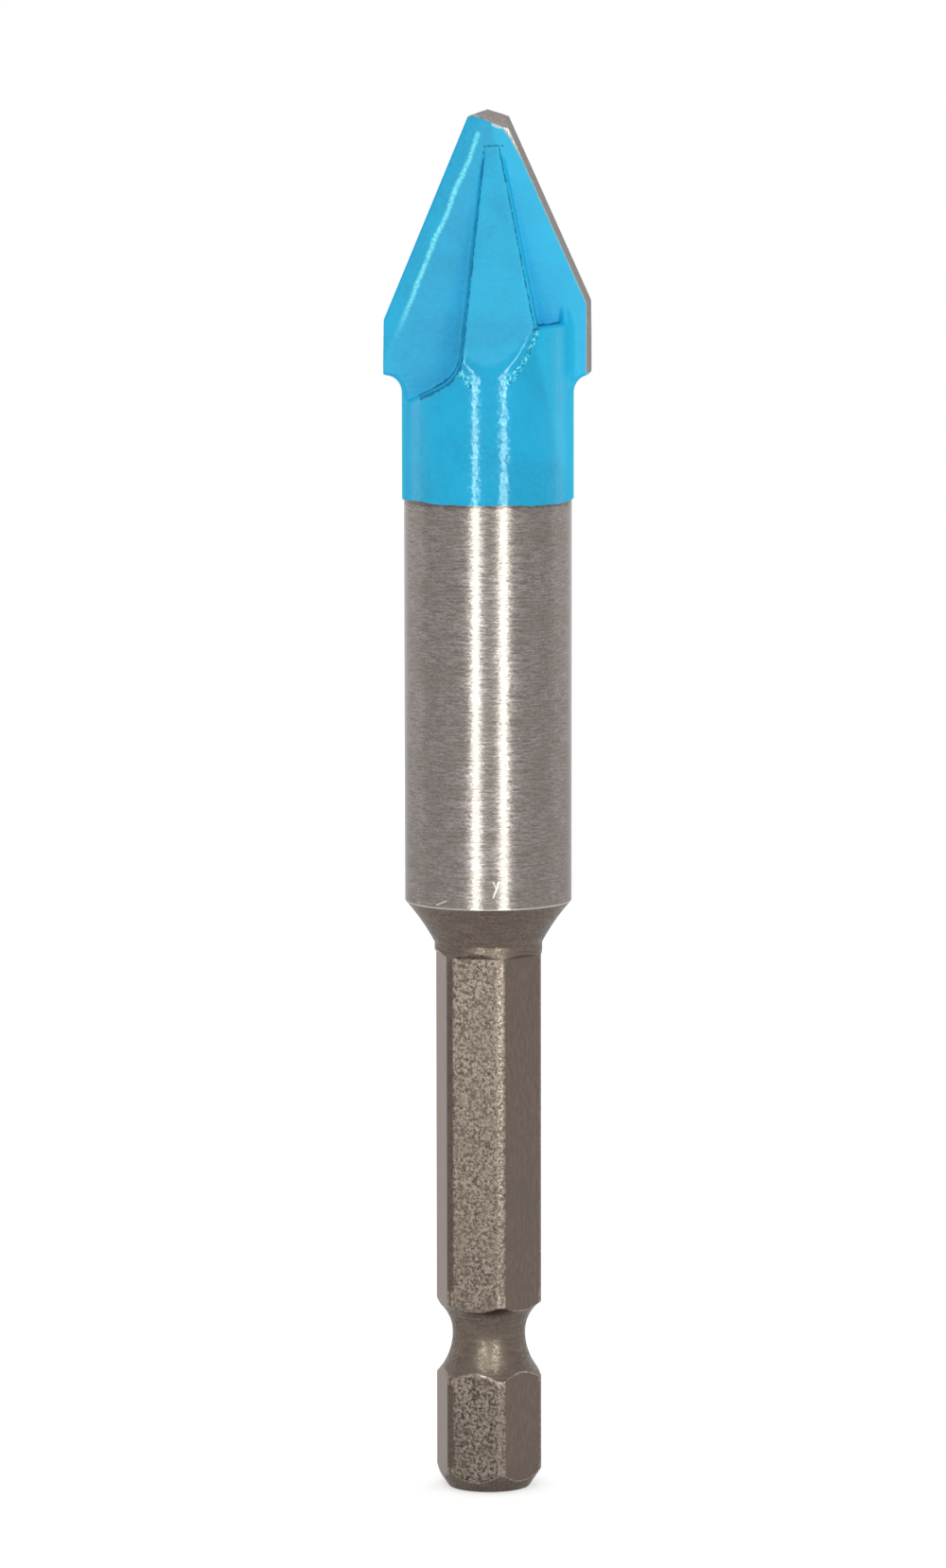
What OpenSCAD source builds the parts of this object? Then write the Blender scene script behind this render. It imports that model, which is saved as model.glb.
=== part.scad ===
// Carbide-tipped spear-point bit for glass and tile, on a hexagonal quick-change shank.
// It stands on the end face of its shank, at the origin, with its axis along Z and the tip up.
// The plate's faces look to -Y and +Y, and the side with the front rib looks to -Y.

/* [Length] */
// Overall length, from the shank's end face to the tip
overall_len = 88.9; // [84:0.1:140]

/* [Shank] */
// Width across the hexagon's flats
hex_af = 6.25; // [6.2:0.05:6.6]
// Diameter that the hexagon's corners are turned to
hex_corner_d = 6.98; // [6.9:0.01:7.15]
// Turn of the hexagon from square with the plate, in degrees
hex_turn_angle = 16.5; // [0:0.5:30]
// Length of the shank, from its end face to where the shoulder begins
shank_len = 35.6; // [28:0.1:40]
// Length between the flats' ends and the shoulder
neck_len = 0.8; // [0.6:0.05:2]
// Angle between the axis and the slopes that the flats run out in
runout_angle = 45; // [35:1:60]
// Diameter of the end face
end_face_d = 5.25; // [4.5:0.05:6]
// Length of the chamfer round the end face
end_chamfer_len = 1.27; // [0.5:0.01:2]

/* [Detent groove] */
// Distance from the end face to the groove's narrowest point
groove_pos = 10.06; // [9:0.01:12]
// Diameter at the groove's narrowest point
groove_neck_d = 4.7; // [4.4:0.05:5.5]
// Radius of the groove's side towards the tip
groove_tip_side_r = 2.55; // [2:0.05:3]
// Radius of the groove's side towards the end face
groove_end_side_r = 3.9; // [3:0.05:4.5]

/* [Body] */
// Diameter of the ground round body
body_d = 10.75; // [9.5:0.05:12]
// Length of the concave shoulder between the shank and the body
shoulder_len = 2.7; // [2.2:0.05:4]
// Radius of the shoulder's hollow
shoulder_hollow_r = 14; // [10:0.5:40]
// Edge break where the shoulder meets the body
body_edge = 0.08; // [0.04:0.01:0.3]

/* [Carbide plate] */
// Width of the plate across its parallel sides, which is the size of the hole it cuts
plate_w = 13.3; // [12.6:0.05:15]
// Thickness of the plate
plate_t = 3; // [2.4:0.05:3.6]
// Distance from the tip to the plate's buried end
plate_len = 20.4; // [19:0.1:24]
// Length of the parallel sides, below the shoulders of the spear
side_len = 4; // [2.5:0.01:4.5]
// Angle between each long flank and the axis
flank_angle = 23.4; // [21:0.1:26]
// Lean of the two flanks to one side, as the point was ground
flank_lean_angle = 0.76; // [0:0.01:1.5]
// Width of the shallow tip that the flanks end in
tip_w = 2.72; // [1.8:0.01:3.4]
// Angle between each face of the shallow tip and the axis
tip_angle = 71; // [60:0.5:75]
// Relief behind the cutting edges
relief_angle = 7; // [4:0.5:10]
// Tilt of the gash that thins the tip, from square with the axis
gash_tilt_angle = 23.6; // [16:0.1:28]
// Roll of that gash away from the cutting edge
gash_roll_angle = 20.6; // [12:0.1:24]
// Width of the land along each cutting edge
land_w = 1.1; // [0.8:0.05:1.6]
// Angle of the land to the plate's face
land_angle = 18; // [6:1:24]

/* [Ribs] */
// Distance from the tip to where each rib feathers out on the plate
rib_drop = 2.4; // [2:0.1:4]
// Angle of the rib's sloping face to the plate
rib_face_angle = 15.26; // [14:0.01:18]
// Width of the rib at its feathered end
rib_end_w = 0.9; // [0.6:0.05:1.4]
// Offset of the feathered end away from the cutting edge
rib_end_shift = 0.33; // [0:0.01:0.6]
// Flare of the rib's side that faces the cutting edge
rib_lead_angle = 6.4; // [3:0.1:9]
// Flare of the rib's other side
rib_trail_angle = 11.1; // [8:0.1:14]

/* [Flutes] */
// Distance from the tip to where the flute ahead of the cutting edge bends outwards
lead_bend_drop = 15.5; // [14.5:0.05:16.5]
// Radius of that bend
lead_bend_r = 2.65; // [1.5:0.05:3]
// Fall of the flute's end from the bend out to the body's side
lead_fall_angle = 26.6; // [10:0.5:35]
// Distance from the tip to the step that ends the flute behind the cutting edge
trail_step_drop = 13.85; // [13:0.05:14.5]
// Rise of that step towards the body's side
trail_rise_angle = 7; // [0:0.5:12]

/* [Braze] */
// Thickness of the braze between the plate and its slot
braze_t = 0.1; // [0.05:0.01:0.2]

/* [Hidden] */

// The two like halves of the head, as angles about the axis
front_angle = 0;
back_angle = 180;

// How far the cutting shapes run past what they cut
over = 1;

// Smoothness of the round forms
round_fn = 128;

// Half sizes
body_r = body_d / 2;
hex_r = hex_af / 2;
corner_r = hex_corner_d / 2;
end_face_r = end_face_d / 2;
groove_neck_r = groove_neck_d / 2;
plate_half_w = plate_w / 2;
plate_face = plate_t / 2;

// Heights along the axis
flats_end = shank_len - neck_len;
body_start = shank_len + shoulder_len;
slot_floor = overall_len - plate_len;
tip_corner = overall_len - tip_w / 2 / tan(tip_angle);
flanks_meet = tip_corner + tip_w / 2 / tan(flank_angle);
plate_shoulder = flanks_meet - plate_half_w / tan(flank_angle);
rib_end = overall_len - rib_drop;
lead_bend = overall_len - lead_bend_drop;
trail_step = overall_len - trail_step_drop;

// Hollow under the plate's overhanging sides, tangent to the body
undercut_r = plate_half_w - body_r;
undercut_foot = plate_shoulder - side_len - undercut_r;

// Reach of the grinding planes, well past the plate
plane_reach = plate_len + plate_w;

// Hollow of the shoulder: a circle through both of its ends
shoulder_in = [corner_r, shank_len];
shoulder_out = [body_r - body_edge, body_start - body_edge];
shoulder_chord = norm(shoulder_out - shoulder_in);
shoulder_along = (shoulder_out - shoulder_in) / shoulder_chord;
shoulder_offset = sqrt(pow(shoulder_hollow_r, 2) - pow(shoulder_chord / 2, 2));
shoulder_centre = (shoulder_in + shoulder_out) / 2
    + shoulder_offset * [shoulder_along[1], -shoulder_along[0]];

// Sides of the front rib on the plate's face, at a height z
function rib_lead_x(z) =
    rib_end_shift - rib_end_w / 2 - (rib_end - z) * tan(rib_lead_angle);
function rib_trail_x(z) =
    rib_end_shift + rib_end_w / 2 + (rib_end - z) * tan(rib_trail_angle);

// Bend of the leading flute, tangent to the rib's side and to the flute's end
bend_start = [rib_lead_x(lead_bend), lead_bend];
bend_centre = bend_start + lead_bend_r * [-cos(rib_lead_angle), sin(rib_lead_angle)];
bend_stop = bend_centre + lead_bend_r * [sin(lead_fall_angle), -cos(lead_fall_angle)];

// Both like halves of the head
module front_and_back() {
    for (half = [front_angle, back_angle]) rotate([0, 0, half]) children();
}

// Turned outline of the shank, the shoulder and the body, from the axis outwards
module turned_outline() {
    difference() {
        polygon([
            [0, 0], [end_face_r, 0], [corner_r, end_chamfer_len], shoulder_in, shoulder_out,
            [body_r, body_start], [body_r, overall_len], [0, overall_len]
        ]);
        detent_outline();
        intersection() {
            translate(shoulder_centre) circle(r = shoulder_hollow_r, $fn = round_fn * 2);
            translate([0, shank_len]) square([body_r, shoulder_len - body_edge]);
        }
    }
}

// Detent groove: one arc on each side of its narrowest point
module detent_outline() {
    intersection() {
        translate([groove_neck_r + groove_tip_side_r, groove_pos])
            circle(r = groove_tip_side_r, $fn = round_fn);
        translate([0, groove_pos]) square([body_r, groove_tip_side_r]);
    }
    intersection() {
        translate([groove_neck_r + groove_end_side_r, groove_pos])
            circle(r = groove_end_side_r, $fn = round_fn);
        translate([0, groove_pos - groove_end_side_r]) square([body_r, groove_end_side_r]);
    }
}

// What the six flats remove from the round shank, with their sloped run-outs
module hex_flats() {
    outside = corner_r + over;
    runout = (outside - hex_r) / tan(runout_angle);
    for (face = [0 : 5])
        rotate([90, 0, 60 * face - 90 - hex_turn_angle])
            linear_extrude(height = hex_corner_d, center = true)
                polygon([
                    [hex_r, -over], [outside, -over], [outside, flats_end + runout],
                    [hex_r, flats_end]
                ]);
}

// Slope that leaves the front rib standing on the plate
module rib_face_cut() {
    outside = body_r + over;
    rotate([90, 0, 90])
        linear_extrude(height = body_d + over, center = true)
            polygon([
                [-plate_face, rib_end],
                [-outside, rib_end - (outside - plate_face) / tan(rib_face_angle)],
                [-outside, overall_len + over],
                [-plate_face, overall_len + over]
            ]);
}

// Flute ahead of the cutting edge, cut down to the plate's face
module lead_flute() {
    outside = body_r + over;
    top = overall_len + over;
    translate([0, -plate_face, 0])
        rotate([90, 0, 0])
            linear_extrude(height = outside) {
                polygon([
                    [rib_lead_x(top), top],
                    bend_start,
                    bend_stop,
                    [-outside, bend_stop[1] - (outside + bend_stop[0]) * tan(lead_fall_angle)],
                    [-outside, top]
                ]);
                translate(bend_centre) circle(r = lead_bend_r, $fn = round_fn);
            }
}

// Shorter flute behind the other cutting edge, ended by a step
module trail_flute() {
    outside = body_r + over;
    top = overall_len + over;
    step_x = rib_trail_x(trail_step);
    translate([0, -plate_face, 0])
        rotate([90, 0, 0])
            linear_extrude(height = outside)
                polygon([
                    [rib_trail_x(top), top],
                    [step_x, trail_step],
                    [outside, trail_step + (outside - step_x) * tan(trail_rise_angle)],
                    [outside, top]
                ]);
}

// The steel's outer form, before the slot is milled for the plate
module steel_form() {
    difference() {
        rotate_extrude($fn = round_fn) turned_outline();
        hex_flats();
        front_and_back() {
            rib_face_cut();
            lead_flute();
            trail_flute();
        }
    }
}

// Room for the plate and the braze round it
module plate_slot() {
    translate([-body_r - over, -plate_face - braze_t, slot_floor - braze_t])
        cube([body_d + over * 2, plate_t + braze_t * 2, plate_len + braze_t + over]);
}

// Space between the faces of the plate, down to its buried end
module plate_space() {
    translate([-plate_half_w - over, -plate_face, slot_floor])
        cube([plate_w + over * 2, plate_t, plate_len + over]);
}

// Round limit of the plate: flush with the body, then hollowed out to its full width
module plate_limit() {
    overhang = undercut_foot + undercut_r;
    rotate_extrude($fn = round_fn)
        difference() {
            polygon([
                [0, slot_floor], [body_r, slot_floor], [body_r, undercut_foot],
                [plate_half_w, undercut_foot], [plate_half_w, overhang], [plate_w, overhang],
                [plate_w, overall_len + over], [0, overall_len + over]
            ]);
            translate([plate_half_w, undercut_foot]) circle(r = undercut_r, $fn = round_fn);
        }
}

// What is ground away outside a face that leaves the leading edge through [x, z]
module ground_away(x, z, angle, relief) {
    translate([x, -plate_face, z])
        rotate([0, angle, 0])
            rotate([0, 0, -relief])
                translate([-plane_reach, -plane_reach, -plane_reach])
                    cube([plane_reach, plane_reach * 2, plane_reach * 2]);
}

// Gash that falls from the tip to the plate's face, behind the cutting edge
module tip_gash() {
    translate([0, 0, overall_len])
        rotate([gash_tilt_angle, gash_roll_angle, 0])
            translate([-plane_reach, -plane_reach, 0])
                cube([plane_reach * 2, plane_reach * 2, plane_reach]);
}

// Land along a cutting edge, falling from the face to the edge
module edge_land(angle) {
    translate([land_w * cos(angle), -plate_face, flanks_meet - land_w * sin(angle)])
        rotate([0, angle, 0])
            rotate([0, 0, -land_angle])
                translate([-plane_reach, -plane_reach, -plane_reach])
                    cube([plane_reach, plane_reach, plane_reach * 2]);
}

// Everything that is ground off one half of the plate
module half_grind(angle) {
    ground_away(-plate_half_w, plate_shoulder, 0, relief_angle);
    ground_away(0, flanks_meet, angle, relief_angle);
    ground_away(0, overall_len, tip_angle, 0);
    tip_gash();
    edge_land(angle);
}

// One-piece shank and body with its two ribs, slotted for the plate
module steel_shank() {
    color([0.53, 0.5, 0.48])
        difference() {
            steel_form();
            plate_slot();
        }
}

// Spear-shaped carbide plate, with relief behind both cutting edges
module carbide_tip() {
    color([0.18, 0.67, 0.86])
        difference() {
            intersection() {
                plate_space();
                plate_limit();
            }
            rotate([0, 0, front_angle]) half_grind(flank_angle - flank_lean_angle);
            rotate([0, 0, back_angle]) half_grind(flank_angle + flank_lean_angle);
        }
}

// Film of braze that lines the slot and shows as a seam round the ribs
module braze_joint() {
    color([0, 0.43, 0.59])
        difference() {
            intersection() {
                steel_form();
                plate_slot();
            }
            plate_space();
        }
}

steel_shank();
carbide_tip();
braze_joint();
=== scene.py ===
"""Looks of a carbide-tipped spear-point bit for glass and tile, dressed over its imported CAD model.

Lengths are millimetres in the bit's own frame: it stands on its end face, its axis is Z, and the
side with the front rib looks to -Y. Meshes are turned into metres when they are made.
"""

import itertools
import math

import bmesh
import bpy
import numpy as np
from mathutils import Matrix, Vector


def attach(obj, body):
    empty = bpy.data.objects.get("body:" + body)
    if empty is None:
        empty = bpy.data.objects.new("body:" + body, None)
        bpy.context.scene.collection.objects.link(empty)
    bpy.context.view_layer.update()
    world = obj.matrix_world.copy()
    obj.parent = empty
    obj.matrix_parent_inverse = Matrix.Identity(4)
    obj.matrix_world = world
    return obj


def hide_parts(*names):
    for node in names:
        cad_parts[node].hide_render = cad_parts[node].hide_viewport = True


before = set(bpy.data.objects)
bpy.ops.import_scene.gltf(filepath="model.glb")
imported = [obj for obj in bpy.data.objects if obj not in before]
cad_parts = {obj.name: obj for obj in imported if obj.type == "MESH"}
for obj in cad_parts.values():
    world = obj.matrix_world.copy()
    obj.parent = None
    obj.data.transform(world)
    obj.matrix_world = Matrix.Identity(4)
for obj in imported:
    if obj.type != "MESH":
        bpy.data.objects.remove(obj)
bpy.context.view_layer.update()

MM = 0.001

# Shank and body, as in the CAD source
OVERALL_LEN = 88.9
HEX_R = 6.25 / 2
CORNER_R = 6.98 / 2
HEX_TURN = 16.5
SHANK_LEN = 35.6
FLATS_END = SHANK_LEN - 0.8
RUNOUT_ANGLE = 45
END_FACE_R = 5.25 / 2
END_CHAMFER = 1.27
GROOVE_POS = 10.06
GROOVE_NECK_R = 4.7 / 2
GROOVE_TIP_SIDE_R = 2.55
GROOVE_END_SIDE_R = 3.9
BODY_R = 10.75 / 2
BODY_START = SHANK_LEN + 2.7
SHOULDER_HOLLOW_R = 14
BODY_EDGE = 0.08

# Head, as in the CAD source
PLATE_HALF_W = 13.3 / 2
PLATE_FACE = 3 / 2
SIDE_LEN = 4
FLANK_ANGLE = 23.4
FLANK_LEAN = 0.76
LEFT_FLANK = FLANK_ANGLE - FLANK_LEAN
RIGHT_FLANK = FLANK_ANGLE + FLANK_LEAN
TIP_W = 2.72
TIP_ANGLE = 71
RELIEF_ANGLE = 7
GASH_TILT = 23.6
GASH_ROLL = 20.6
LAND_W = 1.1
RIB_END = OVERALL_LEN - 2.4
RIB_END_W = 0.9
RIB_END_SHIFT = 0.33
RIB_FACE_ANGLE = 15.26
RIB_LEAD_ANGLE = 6.4
RIB_TRAIL_ANGLE = 11.1
LEAD_BEND = OVERALL_LEN - 15.5
LEAD_BEND_R = 2.65
LEAD_FALL = 26.6
TRAIL_STEP = OVERALL_LEN - 13.85
TRAIL_RISE = 7
TIP_CORNER = OVERALL_LEN - TIP_W / 2 / math.tan(math.radians(TIP_ANGLE))
FLANKS_MEET = TIP_CORNER + TIP_W / 2 / math.tan(math.radians(FLANK_ANGLE))
PLATE_SHOULDER = FLANKS_MEET - PLATE_HALF_W / math.tan(math.radians(FLANK_ANGLE))
UNDERCUT_R = PLATE_HALF_W - BODY_R
UNDERCUT_FOOT = PLATE_SHOULDER - SIDE_LEN - UNDERCUT_R
HALVES = (0, 180)

# Widths over which the shank's edges are rounded
CHAMFER_SOFT = 0.08
GROOVE_SOFT = 0.06
FLAT_SOFT = 0.05
BODY_SOFT = 0.04

# Mesh of the shank: rings from, to and every so far, dense where the form changes
RINGS = (
    (0.03, 1.7, 0.06), (1.8, 7.1, 0.6), (7.1, 12.5, 0.06),
    (12.6, 34.3, 1.0), (34.4, 38.5, 0.05), (39, 65.9, 1.0),
)
RING_SIDES = 240
END_FACE_RINGS = (0.97, 0.6)
HEAD_JOIN = 66.0
SHANK_SHARP = 32
WELD_DIST = 1e-7
PLANE_DIST = 1e-8

# Blue coating
FILM_T = 0.12
FILM_EDGE = 64.1
FILM_VOXEL = 0.1
FILM_SHARP = 40
GROUND_IN = 0.004
POOL_R = 0.9
POOL_FADE = 2.4

# Upper edge of the coating on the plate's face, worn back round the tip: x and depth below the tip
WORN_EDGE = (
    (-1.9, 0.38), (-1.15, 0.42), (-0.85, 0.38), (-0.6, 0.5), (-0.2, 0.52), (0.05, 0.7),
    (0.75, 0.93), (0.95, 1.12), (1.25, 1.5), (1.5, 1.85), (1.72, 2.3), (2.05, 2.85), (2.3, 3.3),
)
WORN_PATCH = ((0.35, 0.92), (0.85, 1.08))

# Scratches on the front of the body: start and end as x and height, and half width
SCRATCHES = (
    ((0.67, 40.1), (0.3, 39.1), 0.05), ((0.3, 40.1), (0.5, 39.6), 0.03),
    ((-3.3, 38.5), (-2.7, 38.8), 0.04),
)

# Stretches a noise into rings round the bit's axis
RINGED = (0.12, 0.12, 1.0)

# Order of the steel's finishes on the shank
GROUND, BLASTED, TURNED, DRAWN = range(4)

# World and floor
DIFFUSE_LEVEL = 0.7
FLOOR_R = 3.0
FLOOR_SIDES = 96
FLOOR_LEVEL = 0.9
FLOOR_GLOW = 0.4

# Lights
FILL_SIZE = 300
FILL_DISTANCE = 600
FILL_HEIGHT = 200
FILL_AIM = 50
FILL_RADIANCE = 3.0
SIDE_AZIMUTH = 132
SIDE_SIZE = 500
SIDE_DISTANCE = 400
SIDE_RADIANCE = 0.4
STRIP_AZIMUTHS = (-16.8, 20.8)
STRIP_DISTANCE = 150
STRIP_W = 12
STRIP_H = 200
STRIP_RADIANCE = 20.0
STRIP_TINT = (0.93, 1.0, 0.94)

# Camera
CAMERA_DISTANCE = 470
CAMERA_ELEVATION = 6.8
CAMERA_ROLL = -0.085
CAMERA_TARGET = (-0.98, 0.0, 45.75)
CAMERA_CLIP = (0.01, 100)
PICTURE_ROWS = 1657
MM_PER_ROW = 0.06075
FRAME_HEIGHT = PICTURE_ROWS * MM_PER_ROW
SENSOR = 36.0


def sin(angle):
    """Sine of an angle in degrees."""
    return math.sin(math.radians(angle))


def cos(angle):
    """Cosine of an angle in degrees."""
    return math.cos(math.radians(angle))


def tan(angle):
    """Tangent of an angle in degrees."""
    return math.tan(math.radians(angle))


def turn(axis, angle):
    """Rotation about an axis by an angle in degrees."""
    return Matrix.Rotation(math.radians(angle), 4, axis)


# Meshes

def add_object(name, data):
    """Links a new object that shows this mesh, light or camera."""
    piece = bpy.data.objects.new(name, data)
    bpy.context.scene.collection.objects.link(piece)
    return piece


def mesh_from(name, points, faces):
    """A mesh from points in millimetres."""
    mesh = bpy.data.meshes.new(name)
    mesh.from_pydata([tuple(p) for p in np.asarray(points) * MM], [], faces)
    mesh.update()
    return mesh


def applied(piece):
    """Applies all modifiers of a piece to its mesh."""
    graph = bpy.context.evaluated_depsgraph_get()
    mesh = bpy.data.meshes.new_from_object(piece.evaluated_get(graph))
    old = piece.data
    piece.modifiers.clear()
    piece.data = mesh
    bpy.data.meshes.remove(old)


def cut(piece, tool, operation="DIFFERENCE"):
    """One boolean step, after which the tool is gone."""
    step = piece.modifiers.new("cut", "BOOLEAN")
    step.object, step.operation, step.solver = tool, operation, "MANIFOLD"
    applied(piece)
    bpy.data.objects.remove(tool)


def welded_copy(node):
    """A closed copy of a CAD node's mesh as an object of its own."""
    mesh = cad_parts[node].data.copy()
    bm = bmesh.new()
    bm.from_mesh(mesh)
    bmesh.ops.remove_doubles(bm, verts=bm.verts, dist=WELD_DIST)
    bm.to_mesh(mesh)
    bm.free()
    mesh.materials.clear()
    return add_object("copy_" + node, mesh)


def block(low, high, matrix=None):
    """A plain box between two corners, as a cutting tool."""
    corners = list(itertools.product(*zip(low, high)))
    faces = [(0, 1, 3, 2), (4, 6, 7, 5), (0, 4, 5, 1), (2, 3, 7, 6), (0, 2, 6, 4), (1, 5, 7, 3)]
    if matrix is not None:
        corners = [matrix @ Vector(c) for c in corners]
    return add_object("tool", mesh_from("tool", corners, faces))


def prism_tool(points, around, matrix):
    """A closed tool from rings of points, each with this many, and a matrix."""
    points = [matrix @ Vector(p) for p in points]
    last = len(points) - around
    faces = [tuple(range(around)), tuple(range(last, len(points)))]
    for first in range(0, last, around):
        for k in range(around):
            n = (k + 1) % around
            faces.append((first + k, first + n, first + around + n, first + around + k))
    mesh = mesh_from("tool", points, faces)
    bm = bmesh.new()
    bm.from_mesh(mesh)
    bmesh.ops.recalc_face_normals(bm, faces=bm.faces)
    bm.to_mesh(mesh)
    bm.free()
    return add_object("tool", mesh)


def shade(mesh, angle):
    """Smooth shading, with edges that turn further than the angle left sharp."""
    bm = bmesh.new()
    bm.from_mesh(mesh)
    limit = math.radians(angle)
    for face in bm.faces:
        face.smooth = True
    for edge in bm.edges:
        edge.smooth = len(edge.link_faces) == 2 and edge.calc_face_angle(0) < limit
    bm.to_mesh(mesh)
    bm.free()


# Shank

def soft_min(a, b, width):
    """The lesser of two distances, with the crossing rounded over about this width."""
    blend = np.clip(width - np.abs(a - b), 0, None) / width
    return np.minimum(a, b) - blend * blend * width / 4


def turned_radius(z):
    """Radius of the turned form at the heights z."""
    radius = np.interp(z, [0, END_CHAMFER, SHANK_LEN], [END_FACE_R, CORNER_R, CORNER_R])
    radius = soft_min(radius, np.full_like(z, CORNER_R), CHAMFER_SOFT)
    for side_r, way in ((GROOVE_TIP_SIDE_R, 1), (GROOVE_END_SIDE_R, -1)):
        away = (z - GROOVE_POS) * way
        inside = (away >= 0) & (away < side_r)
        arc = GROOVE_NECK_R + side_r - np.sqrt(np.clip(side_r ** 2 - away ** 2, 0, None))
        radius = np.where(inside, soft_min(radius, arc, GROOVE_SOFT), radius)
    start = np.array((CORNER_R, SHANK_LEN))
    stop = np.array((BODY_R - BODY_EDGE, BODY_START - BODY_EDGE))
    half = np.linalg.norm(stop - start) / 2
    along = (stop - start) / (2 * half)
    off = math.sqrt(SHOULDER_HOLLOW_R ** 2 - half ** 2)
    centre = (start + stop) / 2 + off * np.array((along[1], -along[0]))
    reach = np.sqrt(np.clip(SHOULDER_HOLLOW_R ** 2 - (z - centre[1]) ** 2, 0, None))
    radius = np.where(z > SHANK_LEN, centre[0] - reach, radius)
    rim = np.interp(z, [stop[1], BODY_START], [stop[0], BODY_R])
    return np.where(z > stop[1], soft_min(rim, np.full_like(z, BODY_R), BODY_SOFT), radius)


def shank_radius(angle, z):
    """Radius of the turned form after its six flats are cut, with softened edges."""
    radius = turned_radius(z)
    height = HEX_R + np.clip(z - FLATS_END, 0, None) * tan(RUNOUT_ANGLE)
    least, clear = 0.5, 99
    for face in range(6):
        facing = np.cos(angle - math.radians(60 * face - 90 - HEX_TURN))
        flat = np.where(facing > least, height / np.maximum(facing, least), clear)
        radius = soft_min(radius, flat, FLAT_SOFT)
    return radius


def lathed_shank():
    """Shank and body as a lathed grid, closed at the end face and open towards the head."""
    heights = np.concatenate([[0.0]] + [np.arange(*part) for part in RINGS])
    angle = np.linspace(0, 2 * math.pi, RING_SIDES, endpoint=False)
    grid_a, grid_z = np.meshgrid(angle - math.radians(HEX_TURN), heights)
    grid_r = shank_radius(grid_a, grid_z)
    points = np.stack([grid_r * np.cos(grid_a), grid_r * np.sin(grid_a), grid_z], axis=-1)
    bm = bmesh.new()
    rings = [[bm.verts.new(p * MM) for p in ring] for ring in points]
    for share in END_FACE_RINGS:
        inner = [Vector((p[0] * share, p[1] * share, 0)) * MM for p in points[0]]
        rings.insert(0, [bm.verts.new(p) for p in inner])
    centre = bm.verts.new((0, 0, 0))
    for k in range(RING_SIDES):
        n = (k + 1) % RING_SIDES
        bm.faces.new((centre, rings[0][n], rings[0][k]))
        for low, high in zip(rings, rings[1:]):
            bm.faces.new((low[k], low[n], high[n], high[k]))
    return bm


def shank_mesh():
    """The lathed shank and body, joined to the steel head of the CAD model."""
    bm = lathed_shank()
    head = bmesh.new()
    head.from_mesh(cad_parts["steel_shank"].data)
    bmesh.ops.remove_doubles(head, verts=head.verts, dist=WELD_DIST)
    bmesh.ops.bisect_plane(head, geom=head.verts[:] + head.edges[:] + head.faces[:],
                           dist=PLANE_DIST, plane_co=(0, 0, HEAD_JOIN * MM), plane_no=(0, 0, 1),
                           clear_inner=True)
    mesh = bpy.data.meshes.new("shank")
    head.to_mesh(mesh)
    head.free()
    bm.from_mesh(mesh)
    open_edges = [e for e in bm.edges if len(e.link_faces) == 1]
    bmesh.ops.bridge_loops(bm, edges=open_edges)
    bmesh.ops.recalc_face_normals(bm, faces=bm.faces)
    bm.to_mesh(mesh)
    bm.free()
    mesh.materials.clear()
    shade(mesh, SHANK_SHARP)
    return mesh


# Coating

def ground_plane_tools():
    """What the grinding takes off the coated head: flanks, sides, tip and gashes."""
    reach = 40
    tools = []
    for half, flank in zip(HALVES, (LEFT_FLANK, RIGHT_FLANK)):
        about = turn("Z", half)
        faces = (
            (-PLATE_HALF_W, PLATE_SHOULDER, 0, RELIEF_ANGLE),
            (0, FLANKS_MEET, flank, RELIEF_ANGLE),
            (0, OVERALL_LEN, TIP_ANGLE, 0),
        )
        for x, z, lean, relief in faces:
            place = about @ Matrix.Translation((x, -PLATE_FACE, z))
            place = place @ turn("Y", lean) @ turn("Z", -relief)
            tools.append(block((-reach,) * 3, (GROUND_IN, reach, reach), place))
        place = about @ Matrix.Translation((0, 0, OVERALL_LEN))
        place = place @ turn("Y", GASH_ROLL) @ turn("X", GASH_TILT)
        tools.append(block((-reach, -reach, -GROUND_IN), (reach,) * 3, place))
    return tools


def worn_tool(half):
    """What has worn off the coating round the tip, on one of its two faces."""
    front, back, reach, top = -8.0, -0.5, 6.0, -3
    outline = [(-reach, WORN_EDGE[0][1])] + list(WORN_EDGE)
    outline += [(reach, WORN_EDGE[-1][1]), (reach, top), (-reach, top)]
    points = [(x, y, OVERALL_LEN - drop) for y in (front, back) for x, drop in outline]
    return prism_tool(points, len(outline), turn("Z", half))


def pool_tool(half):
    """Coating that has pooled in the corner between the body and the plate, behind the ribs."""
    bury, under, over = 0.3, 0.5, 0.1
    inside, flatten, tiny = 0.02, 0.02, 0.001
    steps, levels = 8, 8
    root = bury - PLATE_FACE
    out = math.sqrt((BODY_R + POOL_R) ** 2 - (PLATE_FACE + POOL_R) ** 2)
    centre = Vector((out, -PLATE_FACE - POOL_R))
    stop = math.degrees(math.atan2(-centre.y, -centre.x))
    section = [Vector((centre.x, root))]
    for k in range(steps + 1):
        a = 90 + (stop - 90) * k / steps
        section.append(centre + POOL_R * Vector((cos(a), sin(a))))
    end = section[-1]
    section += [end - Vector((bury, -bury)), Vector((end.x - bury, root))]
    overhang = UNDERCUT_FOOT + UNDERCUT_R
    rising = np.linspace(UNDERCUT_FOOT, overhang, levels)
    points = []
    for z in (UNDERCUT_FOOT - under, *rising, TRAIL_STEP + over):
        limit = math.inf
        if z < overhang - tiny:
            hollow = math.sqrt(UNDERCUT_R ** 2 - max(z - UNDERCUT_FOOT, 0) ** 2)
            limit = PLATE_HALF_W - hollow - inside
        points += [(p * min(1, limit / p.length)).to_3d() + Vector((0, 0, z)) for p in section]
    top = TRAIL_STEP + POOL_FADE
    points += [(p.x, root + (p.y - root) * flatten, top) for p in section]
    return prism_tool(points, len(section), turn("Z", half))


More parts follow.
